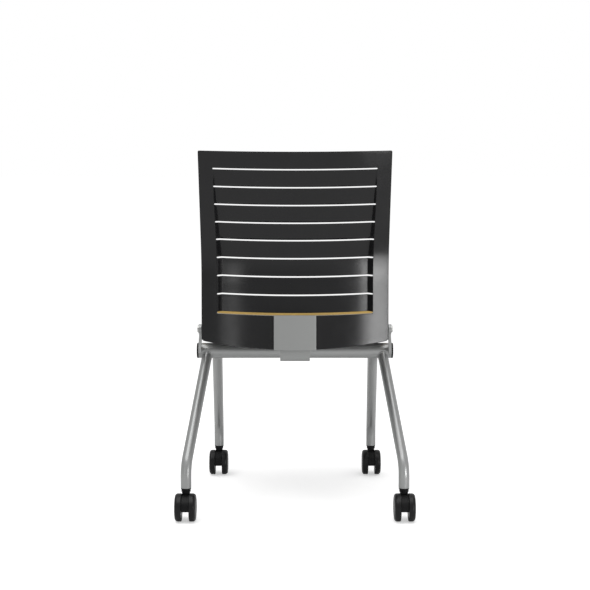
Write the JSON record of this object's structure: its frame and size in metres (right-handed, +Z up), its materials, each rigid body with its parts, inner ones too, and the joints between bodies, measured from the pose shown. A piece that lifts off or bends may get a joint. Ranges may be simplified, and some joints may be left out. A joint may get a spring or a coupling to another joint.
{
  "type": "nesting chair",
  "caption": "Armless nesting chair: slatted moulded back on a flat steel spine, flip-up upholstered seat, leaning tube legs and twin-wheel casters.",
  "frame": {"origin": "floor level under the middle of the chair's bounding box", "axes": "+Z up, the sitter faces -Y, +X is the sitter's left"},
  "size_m": [0.5578, 0.5649, 0.8569],
  "materials": {
    "frame_paint": "satin silver powder coat",
    "cover_paint": "satin silver-grey paint",
    "zinc_steel": "zinc plated",
    "black_nylon": "fine moulded texture",
    "wheel_black": "smooth nylon with a satin tread",
    "back_plastic": "satin black moulding",
    "bumper_rubber": "plain",
    "seat_plywood": "bare plywood",
    "seat_fabric": "golden yellow woven upholstery"
  },
  "bodies": {
    "frame": {"crossbar": "frame_paint", "back_spine": "cover_paint", "spine_cover": "cover_paint", "backrest": "back_plastic", "back_screws": "zinc_steel", "side_arm_left": "frame_paint", "side_arm_right": "frame_paint", "crossbar_plug_left": "zinc_steel", "crossbar_plug_right": "zinc_steel", "arm_screw_left": "zinc_steel", "arm_screw_right": "zinc_steel", "arm_cap_left": "black_nylon", "arm_cap_right": "black_nylon", "pivot_bushing_left": "black_nylon", "pivot_bushing_right": "black_nylon", "leg_rear_left": "frame_paint", "leg_rear_right": "frame_paint", "leg_front_left": "frame_paint", "leg_front_right": "frame_paint", "leg_sleeve_rear_left": "black_nylon", "leg_sleeve_rear_right": "black_nylon", "leg_sleeve_front_left": "black_nylon", "leg_sleeve_front_right": "black_nylon", "caster_stem_rear_left": "zinc_steel", "caster_stem_rear_right": "zinc_steel", "caster_stem_front_left": "zinc_steel", "caster_stem_front_right": "zinc_steel"},
    "seat": {"seat_pan": "black_nylon", "seat_board": "seat_plywood", "seat_cushion": "seat_fabric", "seat_bumper_left": "bumper_rubber", "seat_bumper_right": "bumper_rubber", "hinge_plate_left": "zinc_steel", "hinge_plate_right": "zinc_steel", "pivot_pin_left": "zinc_steel", "pivot_pin_right": "zinc_steel", "hinge_screws": "zinc_steel"},
    "caster_rear_left": {"caster_hood_rear_left": "black_nylon", "caster_axle_rear_left": "zinc_steel"},
    "wheel_a_rear_left": {"wheel_a_rear_left": "wheel_black"},
    "wheel_b_rear_left": {"wheel_b_rear_left": "wheel_black"},
    "caster_rear_right": {"caster_hood_rear_right": "black_nylon", "caster_axle_rear_right": "zinc_steel"},
    "wheel_a_rear_right": {"wheel_a_rear_right": "wheel_black"},
    "wheel_b_rear_right": {"wheel_b_rear_right": "wheel_black"},
    "caster_front_left": {"caster_hood_front_left": "black_nylon", "caster_axle_front_left": "zinc_steel"},
    "wheel_a_front_left": {"wheel_a_front_left": "wheel_black"},
    "wheel_b_front_left": {"wheel_b_front_left": "wheel_black"},
    "caster_front_right": {"caster_hood_front_right": "black_nylon", "caster_axle_front_right": "zinc_steel"},
    "wheel_a_front_right": {"wheel_a_front_right": "wheel_black"},
    "wheel_b_front_right": {"wheel_b_front_right": "wheel_black"}
  },
  "joints": [
    {"name": "seat_flip", "type": "hinge", "parent": "frame", "child": "seat", "pos_m": [0, 0.114, 0.436], "axis": [-1, 0, 0], "range_deg": [0, 80]},
    {"name": "swivel_rear_left", "type": "hinge", "parent": "frame", "child": "caster_rear_left", "pos_m": [0.2545, 0.207, 0.0657], "axis": [0, 0, 1], "continuous": true},
    {"name": "roll_a_rear_left", "type": "hinge", "parent": "caster_rear_left", "child": "wheel_a_rear_left", "pos_m": [0.2545, 0.227, 0.0325], "axis": [1, 0, 0], "continuous": true},
    {"name": "roll_b_rear_left", "type": "hinge", "parent": "caster_rear_left", "child": "wheel_b_rear_left", "pos_m": [0.2545, 0.227, 0.0325], "axis": [1, 0, 0], "continuous": true},
    {"name": "swivel_rear_right", "type": "hinge", "parent": "frame", "child": "caster_rear_right", "pos_m": [-0.2545, 0.207, 0.0657], "axis": [0, 0, 1], "continuous": true},
    {"name": "roll_a_rear_right", "type": "hinge", "parent": "caster_rear_right", "child": "wheel_a_rear_right", "pos_m": [-0.2545, 0.227, 0.0325], "axis": [1, 0, 0], "continuous": true},
    {"name": "roll_b_rear_right", "type": "hinge", "parent": "caster_rear_right", "child": "wheel_b_rear_right", "pos_m": [-0.2545, 0.227, 0.0325], "axis": [1, 0, 0], "continuous": true},
    {"name": "swivel_front_left", "type": "hinge", "parent": "frame", "child": "caster_front_left", "pos_m": [0.2035, -0.259, 0.0657], "axis": [0, 0, 1], "continuous": true},
    {"name": "roll_a_front_left", "type": "hinge", "parent": "caster_front_left", "child": "wheel_a_front_left", "pos_m": [0.2035, -0.239, 0.0325], "axis": [1, 0, 0], "continuous": true},
    {"name": "roll_b_front_left", "type": "hinge", "parent": "caster_front_left", "child": "wheel_b_front_left", "pos_m": [0.2035, -0.239, 0.0325], "axis": [1, 0, 0], "continuous": true},
    {"name": "swivel_front_right", "type": "hinge", "parent": "frame", "child": "caster_front_right", "pos_m": [-0.2035, -0.259, 0.0657], "axis": [0, 0, 1], "continuous": true},
    {"name": "roll_a_front_right", "type": "hinge", "parent": "caster_front_right", "child": "wheel_a_front_right", "pos_m": [-0.2035, -0.239, 0.0325], "axis": [1, 0, 0], "continuous": true},
    {"name": "roll_b_front_right", "type": "hinge", "parent": "caster_front_right", "child": "wheel_b_front_right", "pos_m": [-0.2035, -0.239, 0.0325], "axis": [1, 0, 0], "continuous": true}
  ]
}
